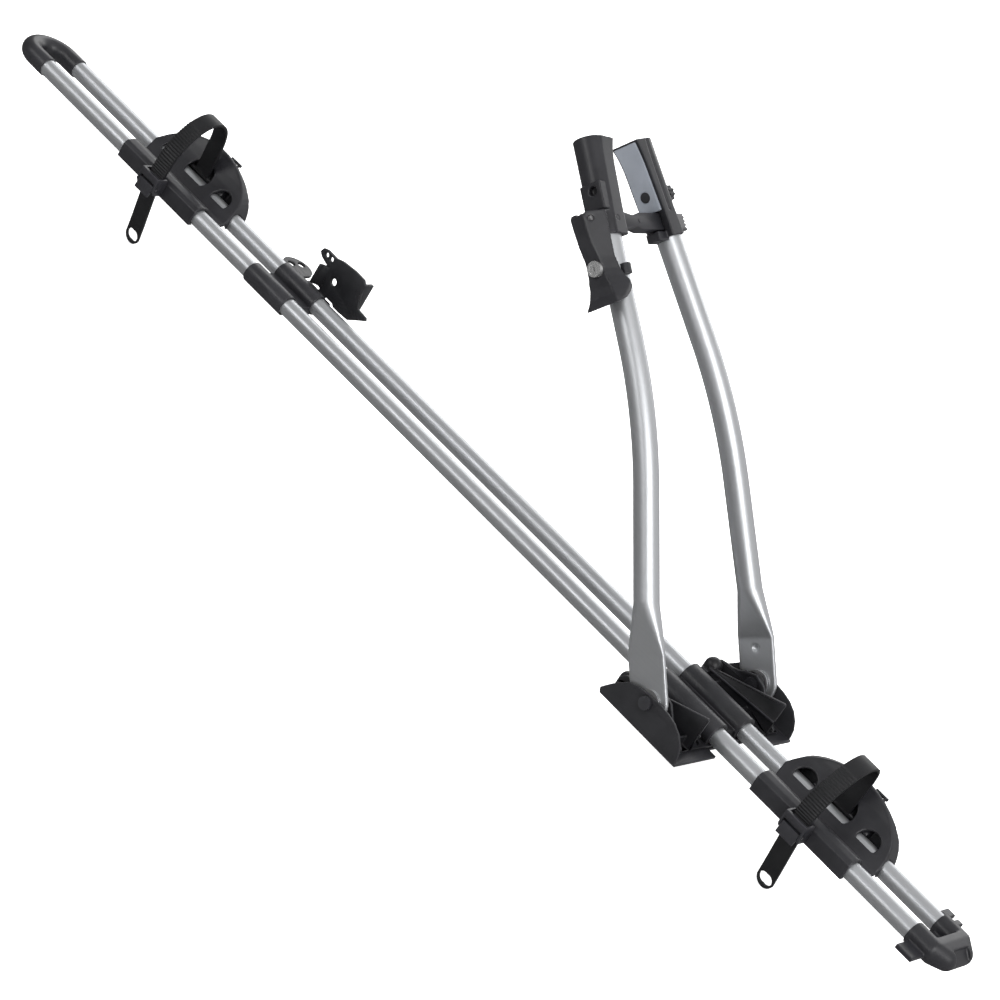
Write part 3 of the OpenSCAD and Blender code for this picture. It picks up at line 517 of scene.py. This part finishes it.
def soft_light(scene, name, place, size, power):
    """A rectangular softbox that points at the carrier"""
    data = bpy.data.lights.new(name, "AREA")
    data.shape = "RECTANGLE"
    data.size, data.size_y = size
    data.energy = power
    lamp = bpy.data.objects.new(name, data)
    lamp.location = place
    lamp.rotation_euler = (Vector(MIDDLE) - Vector(place)).to_track_quat("-Z", "Y").to_euler()
    scene.collection.objects.link(lamp)
    return lamp


def add_lights(scene, studio):
    """A key light, a broad overhead light that no mirror shows, and a strip at each side"""
    soft_light(scene, "key", (1.65, -1.3, 1.9), size=(1.9, 1.9), power=0.7 * studio.key)
    overhead = soft_light(scene, "top", (-0.4, 0.3, 3.2), size=(4.4, 4.4), power=2.2 * studio.key)
    overhead.visible_glossy = False
    soft_light(scene, "left strip", (-1.5, -2.2, 1.2), size=(3.4, 0.6), power=0.34 * studio.key)
    soft_light(scene, "back", (-1.5, 2.2, 1.2), size=(3.4, 1.2), power=0.45 * studio.key)


def add_camera(scene, studio):
    """The camera at the photograph's viewing angle"""
    turn = Matrix((CAMERA_RIGHT, -CAMERA_DOWN, -CAMERA_AHEAD)).transposed().to_4x4()
    data = bpy.data.cameras.new("camera")
    data.sensor_fit = "HORIZONTAL"
    data.sensor_width = SENSOR_WIDTH
    data.lens = studio.lens
    data.clip_end = 60
    camera = bpy.data.objects.new("camera", data)
    camera.matrix_world = Matrix.Translation(CAMERA_PLACE) @ turn
    scene.collection.objects.link(camera)
    scene.camera = camera


class CARRIER_OT_stage(bpy.types.Operator):
    """Floor, soft studio light and the camera"""

    bl_idname = "carrier.stage"
    bl_label = "Studio"

    def execute(self, context):
        scene = context.scene
        studio = scene.carrier_studio
        add_floor(scene, studio)
        add_surround(scene, studio)
        add_lights(scene, studio)
        add_camera(scene, studio)
        scene.view_settings.view_transform = "Standard"
        return {"FINISHED"}


class CARRIER_PT_panel(bpy.types.Panel):
    """The carrier's steps and settings"""

    bl_idname = "CARRIER_PT_panel"
    bl_label = "Roof Bike Carrier"
    bl_space_type = "VIEW_3D"
    bl_region_type = "UI"
    bl_category = "Carrier"

    def draw(self, context):
        layout = self.layout
        for step in STEPS:
            layout.operator(step.bl_idname)
        for group in (context.scene.carrier_finishes, context.scene.carrier_studio):
            box = layout.box()
            for name in group.__annotations__:
                box.prop(group, name)


STEPS = (
    CARRIER_OT_stage,
    CARRIER_OT_tray,
    CARRIER_OT_wheel_holders,
    CARRIER_OT_rear_foot,
    CARRIER_OT_base,
    CARRIER_OT_arms,
    CARRIER_OT_head,
)
CLASSES = (CarrierFinishes, CarrierStudio, *STEPS, CARRIER_PT_panel)


def register():
    for cls in CLASSES:
        bpy.utils.register_class(cls)
    bpy.types.Scene.carrier_finishes = bpy.props.PointerProperty(type=CarrierFinishes)
    bpy.types.Scene.carrier_studio = bpy.props.PointerProperty(type=CarrierStudio)


def unregister():
    del bpy.types.Scene.carrier_studio
    del bpy.types.Scene.carrier_finishes
    for cls in reversed(CLASSES):
        bpy.utils.unregister_class(cls)


def main():
    register()
    make_finishes(bpy.context.scene.carrier_finishes)
    bpy.ops.carrier.stage()
    bpy.ops.carrier.tray()
    bpy.ops.carrier.wheel_holders()
    bpy.ops.carrier.rear_foot()
    bpy.ops.carrier.base()
    bpy.ops.carrier.arms()
    bpy.ops.carrier.head()


if __name__ == "__main__":
    main()
